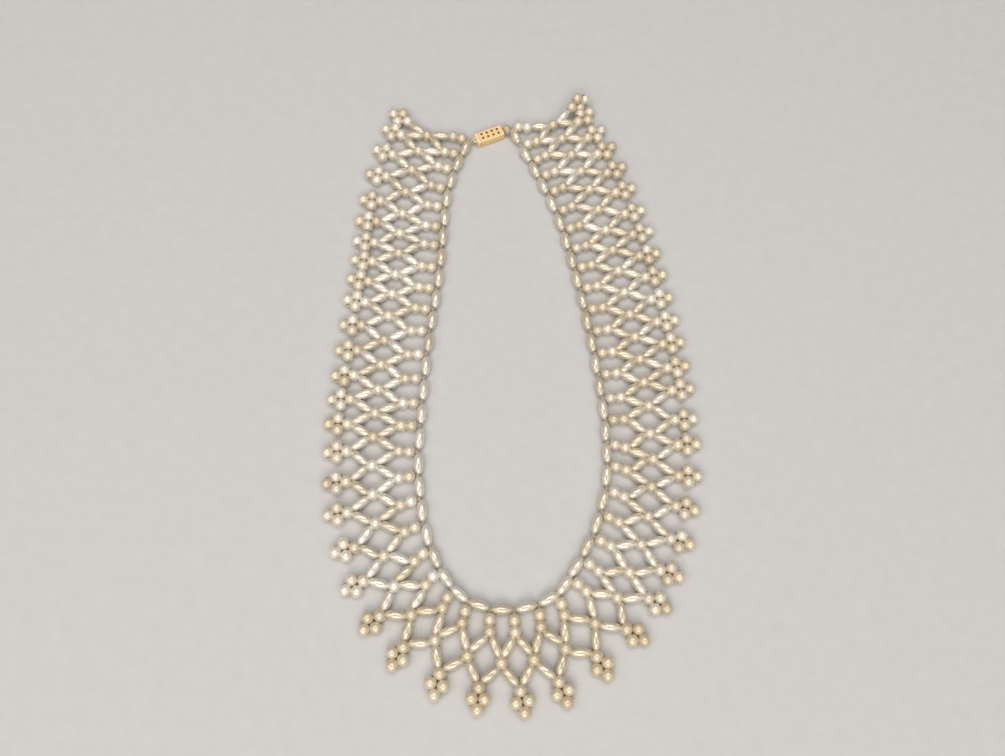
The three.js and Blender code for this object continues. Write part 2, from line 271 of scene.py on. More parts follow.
def string_link(near, far, half):
    """A rice bead from the outer hole of one round bead to the inner hole of the next, and its thread."""
    start, end, way = string_rice(tip(near, far, 1), tip(far, near, -1), half)
    spans.append((near["at"] + near["hole"] * HALF_LENGTH, near["hole"], start, way))
    spans.append((end, way, far["at"] - far["hole"] * HALF_LENGTH, far["hole"]))


for i, rib in enumerate(ribs):
    for m in crossings[max(i - 1, 0) : i + 1]:
        string_link(rib["outer"], m, m["half"])
        string_link(m, rib["top"], m["half"])
net_rices = len(rices)

neck_ends = []
for one, two in zip(nodes, nodes[1:]):
    way = (two["place"] - one["place"]).normalized()
    middle = (one["place"] + two["place"]) / 2
    neck_ends.append(string_rice(middle - way * RICE_LENGTH / 2, middle + way * RICE_LENGTH / 2, "neck"))
print("rice beads in the net:", net_rices, "on the neck string:", len(neck_ends))

# %% [markdown]
# ## A bead as a turned form
# A moulded bead is a turned form with a hole drilled through it. A plain sphere would be quicker, but the
# holes show wherever a bead is turned, and the lacquer is always rubbed thin round them. So each bead is
# a closed outline spun round its hole. Each point also keeps its place in its own bead and how near it is
# to the rim of the hole, because the finishes need both.

# %% Spinning an outline into a bead
HOLE_RADIUS = 0.36 * MM
LIP = 0.09 * MM
# How far each ring of the lip lies out from the hole, and up from the body's edge, in widths of the lip
LIP_RINGS = [(0.4, 0.15), (0, -0.5), (0, -4)]
RIM_WIDTH = 0.45 * MM
SPIN_STEPS = 24
# Half the length of the full oval, in lengths of the bead: the drilled ends are cut off it
ROUND_OVAL = 0.56
RICE_OVAL = 0.53
# The rice beads are a little longer than their solids, which have to stay clear of each other
RICE_STRETCH = 1.02
ROUND_RINGS = 14
RICE_RINGS = 20


def spun(outline, steps=SPIN_STEPS):
    """Points, faces and rim values of an outline of (radius, height) pairs, spun round Z and closed."""
    outline = np.array(outline)
    angles = np.arange(steps) * 2 * math.pi / steps
    points = np.array([(r * math.cos(a), r * math.sin(a), z) for r, z in outline for a in angles])
    count = len(outline)
    faces = [
        (j * steps + k, j * steps + (k + 1) % steps,
         (j + 1) % count * steps + (k + 1) % steps, (j + 1) % count * steps + k)
        for j in range(count)
        for k in range(steps)
    ]
    top = outline[:, 1].max()
    from_hole = np.hypot(np.maximum(outline[:, 0] - HOLE_RADIUS, 0), np.maximum(top - abs(outline[:, 1]), 0))
    rim = np.repeat(np.clip(1 - from_hole / RIM_WIDTH, 0, 1), steps)
    rim[np.hypot(points[:, 0], points[:, 1]) < HOLE_RADIUS * 1.01] = 1
    return points, np.array(faces), rim


def drilled(half_length, half_width, full_length, rings):
    """The outline of an oval bead: an ellipse from lip to lip, a rounded lip, and the drilled hole."""
    edge = math.asin(min((HOLE_RADIUS + LIP) / half_width, 1))
    flat_edge = math.acos(min(full_length / 2 / half_length, 1))
    first = max(edge, flat_edge)
    arc = [first + (math.pi - 2 * first) * i / rings for i in range(rings + 1)]
    body = [(half_width * math.sin(a), half_length * math.cos(a)) for a in arc]
    z = body[0][1]
    lip = [(HOLE_RADIUS + LIP * out, z + LIP * up) for out, up in LIP_RINGS]
    return body + [(r, -h) for r, h in lip] + lip[::-1]


rice_reach = RICE_LENGTH * RICE_STRETCH
round_form = spun(drilled(ROUND_LENGTH * ROUND_OVAL, R, ROUND_LENGTH, ROUND_RINGS))
rice_form = spun(drilled(RICE_LENGTH * RICE_OVAL, RICE_DIAMETER / 2, rice_reach, RICE_RINGS))
print("faces of a round bead:", len(round_form[1]), "of a rice bead:", len(rice_form[1]))

# %% [markdown]
# ## Many beads in one mesh
# Hundreds of separate objects are slow to handle, and instances would all look alike. Each field of beads
# is one mesh made from an array of copies instead. Every copy has a size of its own, is tipped by a
# degree or two, and is spun round its thread, as real beads are.

# %% Copies of a form along a list of places
rng = np.random.default_rng(11)
LEAST_SIZE = 1.015
SIZE_SPREAD = 0.03
TIP_DEGREES = 2.5
SILVER_SPREAD = 0.22
# The patterns are shifted from bead to bead by up to this much, and less along the hole
OWN_SHIFT = 50
OWN_SHIFT_SHARES = np.array((1, 1, 0.2))
FRONT_Y = -80 * MM
# The least darkening of a bead's tone by where it lies, from 0, none, to 1, full, and its lean to the cooler
# tone. By region both paint light and shade: the front darkest and warmest, the right darker than the left;
# the lower left of the neck string is a cooler colour of its own.
LEAST_PAINTED_SHADE = {"front": 0.5, "left": 0.0, "right": 0.2, "neck": 0.2}
SILVER_AND_PAINTED_LIGHT = {"front": 0.1, "left": 0.65, "right": 0.45, "neck": 0.4, "neck lower left": 0.75}
RICE_SILVER = 0.08


def bead_turn(hole):
    """A turn that lays Z along the hole, tipped and spun a little."""
    tipped = Vector(rng.normal(0, math.radians(TIP_DEGREES), 3))
    way = (hole + tipped).normalized()
    side = way.orthogonal().normalized()
    upright = Matrix((side, way.cross(side), way)).transposed()
    return np.array(upright @ Matrix.Rotation(rng.uniform(0, math.tau), 3, "Z"))


def keep(mesh, name, kind, values):
    attribute = mesh.attributes.new(name, kind, "POINT")
    channel = "vector" if kind == "FLOAT_VECTOR" else "value"
    attribute.data.foreach_set(channel, np.ravel(values).astype(np.float32))


def region(b):
    """The part of the collar a bead lies in. The front gets the most painted shade and the warmest tone, the
    left half the least.
    """
    return "front" if b["at"].y < FRONT_Y else b["half"]


def field(name, form, beads, silver):
    """One mesh of all these beads. The silver function gives how far each bead leans to the cooler, whiter
    tone: partly its own colour, partly light painted by region.
    """
    points, faces, rim = form
    places, owns, tones, silvers = [], [], [], []
    for b in beads:
        size = LEAST_SIZE + rng.uniform(0, SIZE_SPREAD)
        places.append(points @ bead_turn(b["hole"]).T * size + np.array(b["at"]))
        owns.append(points / MM + rng.uniform(-OWN_SHIFT, OWN_SHIFT, 3) * OWN_SHIFT_SHARES)
        # Painted shade: the region sets the least darkening of each bead's tone, so the front comes out
        # darkest.
        tones.append(rng.uniform(LEAST_PAINTED_SHADE[region(b)], 1))
        silvers.append(np.clip(silver(b) + rng.normal(0, SILVER_SPREAD), 0, 1))
    mesh = bpy.data.meshes.new(name)
    all_faces = (faces[None] + np.arange(len(beads))[:, None, None] * len(points)).reshape(-1, 4)
    mesh.from_pydata(np.concatenate(places).tolist(), [], all_faces.tolist())
    keep(mesh, "own_place", "FLOAT_VECTOR", np.concatenate(owns))
    keep(mesh, "rim", "FLOAT", np.tile(rim, len(beads)))
    keep(mesh, "bead_tone", "FLOAT", np.repeat(tones, len(points)))
    keep(mesh, "silver", "FLOAT", np.repeat(silvers, len(points)))
    mesh.shade_smooth()
    obj = bpy.data.objects.new(name, mesh)
    bpy.context.scene.collection.objects.link(obj)
    print(name, "beads:", len(beads), "triangles:", 2 * len(all_faces))
    return obj


def round_silver_and_light(b):
    return SILVER_AND_PAINTED_LIGHT[region(b)]


def rice_silver_and_light(b):
    return SILVER_AND_PAINTED_LIGHT[region(b)] + RICE_SILVER


def silver_of_neck(b):
    """The neck string's beads are the coolest along the lower left."""
    lower_left = b["at"].x < -10 * MM and b["at"].y < 30 * MM
    return SILVER_AND_PAINTED_LIGHT["neck lower left" if lower_left else "neck"]


halves = {}
for half in ("left", "right"):
    halves[half] = [
        field(f"round_beads_{half}", round_form, [b for b in rounds if b["half"] == half], round_silver_and_light),
        field(f"rice_beads_{half}", rice_form, [b for b in rices if b["half"] == half], rice_silver_and_light),
    ]
neck_beads = field("neck_rice_beads", rice_form, [b for b in rices if b["half"] == "neck"], silver_of_neck)

# %% [markdown]
# ## The clasp's own frame
# The clasp closes the gap between the two ends of the string. All its pieces are made in a frame of their
# own, with X along the clasp, and then laid where the string's ends put it.

# %% Sizes of the clasp and its place
CLASP_LENGTH = 11.2 * MM
CLASP_WIDTH = 4.8 * MM
CLASP_HEIGHT = 3.0 * MM
PLATE_THICKNESS = 1.2 * MM
LUG_LENGTH = 1.2 * MM
LUG_WIDTH = 2.2 * MM
LUG_THICKNESS = 1.0 * MM
LUG_HOLE = 1.0 * MM
DOT_DIAMETER = 0.8 * MM
DOT_PITCH = 2.1 * MM
DOT_ROW_PITCH = 1.75 * MM
DOT_SHIFT = 0.3 * MM
DOT_DEPTH = 1.1 * MM
END_BEAD_LENGTH = 2.5 * MM
END_BEAD_WIDTH = 4.4 * MM
END_BEAD_HEIGHT = 3.2 * MM
CLASP_SET_IN = 0.7 * MM
CLASP_SHIFT = 0.6 * MM
CLEARANCE = 0.3 * MM
SLIT = 0.12 * MM

left_end = nodes[0]["place"]
right_end = nodes[-1]["place"]
clasp_way = (right_end - left_end).normalized()
clasp_middle = (left_end + right_end) / 2 - clasp_way * CLASP_SHIFT + clasp_way.cross(UP) * CLASP_SET_IN
clasp_middle.z = 0
clasp_turn = Matrix.Rotation(math.atan2(clasp_way.y, clasp_way.x), 4, "Z")
clasp_frame = Matrix.Translation(clasp_middle) @ clasp_turn
box_start = -CLASP_LENGTH / 2 + PLATE_THICKNESS + CLEARANCE
box_end = CLASP_LENGTH / 2
end_bead_start = box_end + CLEARANCE
print("clasp's middle, mm:", [round(v / MM, 2) for v in clasp_middle])


# %% [markdown]
# ## The clasp's box and end plate
# The box is folded from thin gilt sheet and soldered: its edges are soft, a seam runs round its sides
# under the lid, and the lid is pierced with small dots. Rings of a rounded rectangle, laid one over the
# other, give the soft edges and the seam. The dots are cut by a Boolean, and a Bevel rounds their rims.

# %% Rings of a rounded rectangle, and the box and plate made of them
CORNER_STEPS = 5
LEAST_CORNER = 0.05 * MM
SLIT_END_SHARE = 0.1


def rounded_ring(low_x, high_x, half_y, inset, corners, z):
    """Corners of a rounded rectangle, drawn in from its full size by inset, at height z.

    corners holds the radius at the low and at the high end. An end with no radius faces the slit: it stays
    square and is hardly drawn in.
    """
    low, high = (max(corner - inset, LEAST_CORNER) for corner in corners)
    low_in, high_in = (inset if corner else SLIT_END_SHARE * inset for corner in corners)
    ring = []
    for x, y, radius, start in (
        (high_x - high_in - high, half_y - inset - high, high, 0),
        (low_x + low_in + low, half_y - inset - low, low, 90),
        (low_x + low_in + low, -half_y + inset + low, low, 180),
        (high_x - high_in - high, -half_y + inset + high, high, 270),
    ):
        for k in range(CORNER_STEPS + 1):
            a = math.radians(start + 90 * k / CORNER_STEPS)
            ring.append((x + radius * math.cos(a), y + radius * math.sin(a), z))
    return ring


def lofted(name, rings):
    """A closed body through rings with the same number of corners, with a flat face at each end."""
    mesh = bpy.data.meshes.new(name)
    count = len(rings[0])
    points = [p for ring in rings for p in ring]
    faces = [
        (j * count + k, j * count + (k + 1) % count, (j + 1) * count + (k + 1) % count, (j + 1) * count + k)
        for j in range(len(rings) - 1)
        for k in range(count)
    ]
    faces.append(tuple(range(count))[::-1])
    faces.append(tuple(range(len(points) - count, len(points))))
    mesh.from_pydata(points, [], faces)
    obj = bpy.data.objects.new(name, mesh)
    bpy.context.scene.collection.objects.link(obj)
    return obj


# Height, and how far the wall is drawn in there, in millimetres
BOTTOM_EDGE = [(0, 0.4), (0.08, 0.2), (0.28, 0.06), (0.5, 0)]
SEAM = [(1.98, 0), (2.04, 0.14), (2.14, 0.14), (2.2, 0)]
TOP_EDGE = [(2.6, 0.01), (2.8, 0.07), (2.93, 0.18), (3.0, 0.34), (3.0, 0.42)]
CLASP_CORNER = 0.6 * MM
CASE_BEVEL = 0.05 * MM
PLATE_BEVEL = 0.03 * MM
SHARP_DEGREES = 50


def wall(low_x, high_x, rows, corners):
    return [rounded_ring(low_x, high_x, CLASP_WIDTH / 2, inset * MM, corners, z * MM) for z, inset in rows]


def cut_and_softened(obj, cutters, width, segments=2):
    """Cuts the cutters out of the object, rounds its sharp edges, and keeps the result as a plain mesh."""
    if cutters:
        cut = obj.modifiers.new("cut", "BOOLEAN")
        cut.operation = "DIFFERENCE"
        cut.solver = "EXACT"
        cut.object = cutters
    soften = obj.modifiers.new("soften", "BEVEL")
    soften.width = width
    soften.segments = segments
    soften.limit_method = "ANGLE"
    soften.angle_limit = math.radians(SHARP_DEGREES)
    weigh = obj.modifiers.new("weigh", "WEIGHTED_NORMAL")
    weigh.weight = 100
    weigh.keep_sharp = True
    obj.data.shade_smooth()
    bpy.context.view_layer.update()
    made = bpy.data.meshes.new_from_object(obj.evaluated_get(bpy.context.evaluated_depsgraph_get()))
    obj.modifiers.clear()
    obj.data = made
    if cutters:
        bpy.data.objects.remove(cutters)


# The dots are a little wider at the mouth than below
DOT_MOUTH = DOT_DIAMETER / 1.8
DOT_FOOT = DOT_DIAMETER / 2.3
DOT_SIDES = 10


def dot_cutters():
    """Upright pins for the pierced dots, as one mesh."""
    bm = bmesh.new()
    for row in (-0.5, 0.5):
        for k in (-1.5, -0.5, 0.5, 1.5):
            at = Vector((DOT_SHIFT + k * DOT_PITCH, row * DOT_ROW_PITCH, CLASP_HEIGHT))
            bmesh.ops.create_cone(
                bm, cap_ends=True, segments=DOT_SIDES, radius1=DOT_FOOT, radius2=DOT_MOUTH,
                depth=2 * DOT_DEPTH, matrix=Matrix.Translation(at),
            )
    mesh = bpy.data.meshes.new("dot_cutters")
    bm.to_mesh(mesh)
    bm.free()
    obj = bpy.data.objects.new("dot_cutters", mesh)
    bpy.context.scene.collection.objects.link(obj)
    return obj


case_rings = wall(box_start, box_end, BOTTOM_EDGE + SEAM + TOP_EDGE, (0, CLASP_CORNER))
clasp_case = lofted("clasp_case", case_rings)
cut_and_softened(clasp_case, dot_cutters(), CASE_BEVEL)
plate_start = -CLASP_LENGTH / 2
plate_end = box_start - SLIT
plate_rings = wall(plate_start, plate_end, BOTTOM_EDGE + TOP_EDGE, (CLASP_CORNER, 0))
clasp_plate = lofted("clasp_plate", plate_rings)
cut_and_softened(clasp_plate, None, PLATE_BEVEL)
print("faces of the clasp's case:", len(clasp_case.data.polygons))

# %% [markdown]
# ## The lug, the tongue's spring and the clouded bead
# The lug is a small tab with an eye for the thread. A filled flat curve with a hole in it, given a
# thickness and a bevel, is the shortest way to such a tab. The folded spring of the tongue just shows in
# the slit between the end plate and the box. The clouded bead is pressed flat, so it is a spun form
# scaled in two ways.

# %% Lug, tongue and clouded bead
lug_end = plate_start - LUG_LENGTH
lug_round = LUG_WIDTH / 2
LUG_BEVEL = 0.14 * MM
LUG_SOFT_EDGE = 0.01 * MM
LUG_ROUND_STEPS = 14
EYE_SIDES = 16


def closed_line(curve, points):
    line = curve.splines.new("POLY")
    line.points.add(len(points) - 1)
    for point, (x, y) in zip(line.points, points):
        point.co = (x, y, 0, 1)
    line.use_cyclic_u = True


def arc(centre_x, radius, start, end, steps):
    angles = [math.radians(start + (end - start) * k / steps) for k in range(steps + 1)]
    return [(centre_x + radius * math.cos(a), radius * math.sin(a)) for a in angles]


tab = bpy.data.curves.new("lug", "CURVE")
tab.dimensions = "2D"
tab.fill_mode = "BOTH"
tab.extrude = LUG_THICKNESS / 2 - LUG_BEVEL
tab.bevel_depth = LUG_BEVEL
tab.bevel_resolution = 2
tab.offset = -LUG_BEVEL
lug_centre = lug_end + lug_round
lug_root = plate_start + PLATE_THICKNESS / 2
lug_arc = arc(lug_centre, lug_round, 90, 270, LUG_ROUND_STEPS)
closed_line(tab, [(lug_root, -lug_round), (lug_root, lug_round), *lug_arc])
closed_line(tab, arc(lug_centre, LUG_HOLE / 2, 0, 360 - 360 / EYE_SIDES, EYE_SIDES - 1))
tab_object = bpy.data.objects.new("lug_curve", tab)
bpy.context.scene.collection.objects.link(tab_object)
bpy.context.view_layer.update()
lug_mesh = bpy.data.meshes.new_from_object(tab_object.evaluated_get(bpy.context.evaluated_depsgraph_get()))
lug_mesh.transform(Matrix.Translation((0, 0, R)))
bpy.data.objects.remove(tab_object)
clasp_lug = bpy.data.objects.new("clasp_lug", lug_mesh)
bpy.context.scene.collection.objects.link(clasp_lug)
cut_and_softened(clasp_lug, None, LUG_SOFT_EDGE, 1)

SPRING_LEAF = 0.45 * MM
SPRING_ROOT = 0.8 * PLATE_THICKNESS
SPRING_REACH = 1.2 * MM
SPRING_CORNERS = (0.2 * MM, 0.2 * MM)
SPRING_SHARP_DEGREES = 35
# Height, and how far the leaf is drawn in there, in millimetres
SPRING_ROWS = [(0.9, 0.1), (1.0, 0.0), (2.2, 0.0), (2.3, 0.1)]
spring_start = plate_start + SPRING_ROOT
spring_end = box_start + SPRING_REACH
spring_half = CLASP_WIDTH / 2 - SPRING_LEAF * 2
clasp_spring = lofted("clasp_spring", [
    rounded_ring(spring_start, spring_end, spring_half, inset * MM, SPRING_CORNERS, z * MM)
    for z, inset in SPRING_ROWS
])
clasp_spring.data.shade_smooth()
clasp_spring.data.set_sharp_from_angle(angle=math.radians(SPRING_SHARP_DEGREES))

END_BEAD_RINGS = 16
END_BEAD_STEPS = 32
half_height = END_BEAD_HEIGHT / 2
flat_form = drilled(END_BEAD_LENGTH * ROUND_OVAL, half_height, END_BEAD_LENGTH, END_BEAD_RINGS)
points, faces, rim = spun(flat_form, END_BEAD_STEPS)
points = points * np.array((1, END_BEAD_WIDTH / END_BEAD_HEIGHT, 1))
lay_down = np.array(Matrix(((0, 0, 1), (0, 1, 0), (-1, 0, 0))))
points = points @ lay_down.T + np.array((end_bead_start + END_BEAD_LENGTH / 2, 0, R))
clouded_mesh = bpy.data.meshes.new("clouded_bead")
clouded_mesh.from_pydata(points.tolist(), [], faces.tolist())
keep(clouded_mesh, "rim", "FLOAT", rim)
clouded_mesh.shade_smooth()
clouded_bead = bpy.data.objects.new("clouded_bead", clouded_mesh)
bpy.context.scene.collection.objects.link(clouded_bead)
print("faces of the lug:", len(lug_mesh.polygons), "of the clouded bead:", len(faces))


# %% Lay the clasp's pieces in place, and keep each point's place in the clasp's own frame
def own_places(mesh):
    places = np.zeros(len(mesh.vertices) * 3, np.float32)
    mesh.vertices.foreach_get("co", places)
    keep(mesh, "own_place", "FLOAT_VECTOR", places / MM)


for piece in (clasp_case, clasp_plate, clasp_lug, clasp_spring, clouded_bead):
    own_places(piece.data)
    piece.data.transform(clasp_frame)
print("clasp's case reaches, mm:", [round(v / MM, 2) for v in clasp_case.data.vertices[0].co])

# %% [markdown]
# ## The thread
# Cream thread shows between the beads: a V at each leg of the neck string, short strands where two rice
# beads leave one hole, and a loop round the outside of each picot. A curve object with a bevel would do
# for one strand. For some seven hundred short ones it is quicker to sweep a ring of points along each, in
# one mesh.

# %% Sweep a strand, and collect all strands of a net in one mesh
THREAD_RADIUS = 0.17 * MM
THREAD_SIDES = 7
STRAND_STEPS = 6
STRAND_PULL = 0.4
IN_HOLE = 0.5 * MM


def bent(start, start_way, end, end_way):
    """Points of a smooth strand between two holes, with both its ends drawn into the holes."""
    pull = (end - start).length * STRAND_PULL
    a, b, c, d = start, start + start_way * pull, end - end_way * pull, end
    points = [start - start_way * IN_HOLE]
    for k in range(STRAND_STEPS + 1):
        t = k / STRAND_STEPS
        points.append(a * (1 - t) ** 3 + b * 3 * t * (1 - t) ** 2 + c * 3 * t * t * (1 - t) + d * t**3)
    return [*points, end + end_way * IN_HOLE]


def swept(line, radius):
    """Points, faces and own places of a tube along a line, with a closed cap at each end."""
    ways = [(line[min(i + 1, len(line) - 1)] - line[max(i - 1, 0)]).normalized() for i in range(len(line))]
    side = ways[0].orthogonal().normalized()
    points, owns, run = [], [], 0
    for i, (place, way) in enumerate(zip(line, ways)):
        side = (side - way * side.dot(way)).normalized()
        other = way.cross(side)
        run += (place - line[i - 1]).length / MM if i else 0
        for k in range(THREAD_SIDES):
            a = math.tau * k / THREAD_SIDES
            points.append(place + (side * math.cos(a) + other * math.sin(a)) * radius)
            owns.append((math.cos(a), math.sin(a), run))
    n = THREAD_SIDES
    faces = [
        (i * n + k, i * n + (k + 1) % n, (i + 1) * n + (k + 1) % n, (i + 1) * n + k)
        for i in range(len(line) - 1)
        for k in range(n)
    ]
    faces.append(tuple(range(n))[::-1])
    faces.append(tuple(range(len(points) - n, len(points))))
    return points, faces, owns


def thread_mesh(name, lines):
    points, faces, owns = [], [], []
    for line in lines:
        p, f, o = swept(line, THREAD_RADIUS)
        faces += [tuple(len(points) + v for v in face) for face in f]
        points += p
        owns += o
    mesh = bpy.data.meshes.new(name)
    mesh.from_pydata([tuple(p) for p in points], [], faces)
    keep(mesh, "own_place", "FLOAT_VECTOR", np.array(owns))
    mesh.shade_smooth()
    obj = bpy.data.objects.new(name, mesh)
    bpy.context.scene.collection.objects.link(obj)
    print(name, "strands:", len(lines), "faces:", len(faces))
    return obj


# %% Strands of the net and of the picots
PICOT_FAN = 0.8
net_lines = {"left": [], "right": []}
for i, rib in enumerate(ribs):
    half = rib["half"]
    inner, outer, top, end = rib["inner"], rib["outer"], rib["top"], rib["end"]
    way = rib["way"]
    net_lines[half].append([inner["at"], (inner["at"] + outer["at"]) / 2, outer["at"]])
    for side, s in zip(rib["sides"], (1, -1)):
        near = side["at"] - way * HALF_LENGTH
        far = side["at"] + way * HALF_LENGTH
        fanned = (way + rib["across"] * s * PICOT_FAN).normalized()
        end_hole = end["at"] + rib["across"] * s * HALF_LENGTH
        net_lines[half].append(bent(top["at"] + way * HALF_LENGTH, fanned, near, way))
        net_lines[half].append(bent(far, way, end_hole, rib["across"] * -s))
for k, (start, start_way, end, end_way) in enumerate(spans):
    link = rices[k // 2]
    net_lines[link["half"]].append(bent(start, start_way, end, end_way))
net_threads = {half: thread_mesh(f"net_thread_{half}", lines) for half, lines in net_lines.items()}

# %% Strands of the neck string: a V from each leg's hole to the rice beads beside it
LOOP_STEPS = 5


def on_clasp(x, y, z):
    return clasp_frame @ Vector((x, y, z))


def smooth(points):
    """A smooth line through points, by the same curve as the neck string's but evenly paced."""
    ends = [2 * points[0] - points[1], *points, 2 * points[-1] - points[-2]]
    line = []
    for a, b, c, d in zip(ends, ends[1:], ends[2:], ends[3:]):
        for k in range(LOOP_STEPS):
            t = k / LOOP_STEPS
            line.append((
                2 * b + (c - a) * t + (2 * a - 5 * b + 4 * c - d) * t**2 + (3 * (b - c) + d - a) * t**3
            ) / 2)
    return [*line, points[-1]]


neck_lines = []
for i, rib in enumerate(ribs):
    hole = rib["inner"]["at"] - rib["inner"]["hole"] * HALF_LENGTH
    inward = -rib["inner"]["hole"]
    if i:
        _, end, way = neck_ends[i - 1]
        neck_lines.append(bent(end, way, hole, -inward))
    if i < len(neck_ends):
        start, _, way = neck_ends[i]
        neck_lines.append(bent(hole, inward, start, way))

# The loop through the lug's eye runs from the first rice bead, over and under the tab, to the first leg
first_start, _, first_way = neck_ends[0]
first_hole = ribs[0]["inner"]["at"] - ribs[0]["inner"]["hole"] * HALF_LENGTH
over = LUG_THICKNESS / 2 + THREAD_RADIUS
neck_lines.append(smooth([
    first_start + first_way * IN_HOLE,
    first_start,
    on_clasp(lug_end - 0.35 * MM, -0.25 * MM, R + 0.2 * MM),
    on_clasp(lug_end + 0.1 * MM, -0.15 * MM, R + over),
    on_clasp(lug_centre - 0.1 * MM, -0.1 * MM, R + over),
    on_clasp(lug_centre, 0, R),
    on_clasp(lug_centre - 0.1 * MM, 0.1 * MM, R - over),
    on_clasp(lug_end + 0.1 * MM, 0.15 * MM, R - over),
    on_clasp(lug_end - 0.35 * MM, 0.25 * MM, R - 0.2 * MM),
    first_hole,
    first_hole + ribs[0]["inner"]["hole"] * IN_HOLE,
]))
# The other end runs through the clouded bead into the box
last_end = neck_ends[-1][1]
last_hole = ribs[-1]["inner"]["at"] - ribs[-1]["inner"]["hole"] * HALF_LENGTH
bead_far = end_bead_start + END_BEAD_LENGTH
STRANDS_APART = 0.1 * MM
for target, y in ((last_end, -STRANDS_APART), (last_hole, STRANDS_APART)):
    leaving = on_clasp(bead_far, y, R)
    neck_lines.append(smooth([
        on_clasp(box_end - 0.3 * MM, y, R),
        on_clasp(end_bead_start, y, R),
        leaving,
        target,
        target + (target - leaving).normalized() * IN_HOLE,
    ]))
# A knot at each end of the string, as three close turns of the thread that swell in the middle
KNOT_RADIUS = 0.27 * MM
KNOT_TURNS = 3
TURN_STEPS = 8
TURN_PITCH = 2.2
KNOT_NARROW = 0.75
KNOT_SWELL = 0.35
knot_steps = KNOT_TURNS * TURN_STEPS
for x, y in ((lug_end - 0.5 * MM, -0.05 * MM), (bead_far + 0.3 * MM, 0.0)):
    turns = []
    for k in range(knot_steps + 1):
        a = math.tau * k / TURN_STEPS
        along = (k / knot_steps - 0.5) * TURN_PITCH * THREAD_RADIUS * KNOT_TURNS
        swell = KNOT_RADIUS * (KNOT_NARROW + KNOT_SWELL * math.sin(math.pi * k / knot_steps))
        turns.append(on_clasp(x + along, y + swell * math.cos(a), R + swell * math.sin(a)))
    neck_lines.append(turns)
neck_thread = thread_mesh("neck_thread", neck_lines)

# %% [markdown]
# ## Shared effects as node groups
# Four finishes share three effects. All four are a little cloudy, and no two beads have quite the same
# tone. The lacquer of the rice beads and the gilt carry fine lines along the piece. And all four are
# rubbed thin where they meet a hole or an edge. Each effect is one group with named inputs, and each
# material gives it its own values.


# %% A small kit for node groups
def group_tree(name, inputs, outputs):
    tree = bpy.data.node_groups.new(name, "ShaderNodeTree")
    for label, kind, value in inputs:
        socket = tree.interface.new_socket(label, in_out="INPUT", socket_type=kind)
        if value is not None:
            socket.default_value = value
    for label, kind in outputs:
        tree.interface.new_socket(label, in_out="OUTPUT", socket_type=kind)
    return tree, tree.nodes.new("NodeGroupInput"), tree.nodes.new("NodeGroupOutput")


def add(tree, kind, values=(), **settings):
    """Adds a node, sets its properties, and sets or links its inputs, given as (socket, value or output)."""
    node = tree.nodes.new(kind)
    for key, value in settings.items():
        setattr(node, key, value)
    for socket, value in values:
        if isinstance(value, bpy.types.NodeSocket):
            tree.links.new(value, node.inputs[socket])
        else:
            node.inputs[socket].default_value = value
    return node


def maths(tree, operation, *values, clamp=False):
    inputs = list(enumerate(values))
    return add(tree, "ShaderNodeMath", inputs, operation=operation, use_clamp=clamp).outputs[0]


def ranged(tree, value, **limits):
    """Maps a value from one range to another. A limit that isn't given stays 0 or 1."""
    inputs = [(label.replace("_", " "), limit) for label, limit in limits.items()]
    return add(tree, "ShaderNodeMapRange", [("Value", value), *inputs]).outputs[0]


# A mix node has a socket of each name for every kind of value, and these are the ones for colours
MIX_A, MIX_B, MIX_RESULT = 6, 7, 2


def mixed(tree, factor, a, b):
    node = add(tree, "ShaderNodeMix", [("Factor", factor)], data_type="RGBA")
    for socket, value in ((node.inputs[MIX_A], a), (node.inputs[MIX_B], b)):
        if isinstance(value, bpy.types.NodeSocket):
            tree.links.new(value, socket)
        else:
            socket.default_value = value
    return node.outputs[MIX_RESULT]


FLOAT, COLOR, VECTOR = "NodeSocketFloat", "NodeSocketColor", "NodeSocketVector"
WHITE = (1, 1, 1, 1)
BLACK = (0, 0, 0, 1)
print("kit ready")

# %% Cloudy tone: each bead leans to one of two tones, with soft clouds inside it
tree, given, made = group_tree(
    "cloudy tone",
    [
        ("Place", VECTOR, None), ("Tone", FLOAT, 0.5), ("Warm", COLOR, WHITE), ("Cool", COLOR, WHITE),
        ("Cloud Size", FLOAT, 1.0), ("Cloud Amount", FLOAT, 0.3),
        ("Shade", FLOAT, 0.0), ("Deep", COLOR, BLACK),
    ],
    [("Color", COLOR), ("Cloud", FLOAT)],
)
scale = maths(tree, "DIVIDE", 1.0, given.outputs["Cloud Size"])
noise = add(tree, "ShaderNodeTexNoise", [
    ("Vector", given.outputs["Place"]), ("Scale", scale), ("Detail", 3.0),
])
centred = maths(tree, "SUBTRACT", noise.outputs[0], 0.5)
swing = maths(tree, "MULTIPLY", centred, given.outputs["Cloud Amount"])
lean = maths(tree, "ADD", given.outputs["Tone"], swing, clamp=True)
clear = mixed(tree, lean, given.outputs["Warm"], given.outputs["Cool"])
# Shade darkens the colour towards Deep. The pearls feed it random tone together with painted shade by region.
tree.links.new(mixed(tree, given.outputs["Shade"], clear, given.outputs["Deep"]), made.inputs["Color"])
tree.links.new(noise.outputs[0], made.inputs["Cloud"])
cloudy_tone = tree

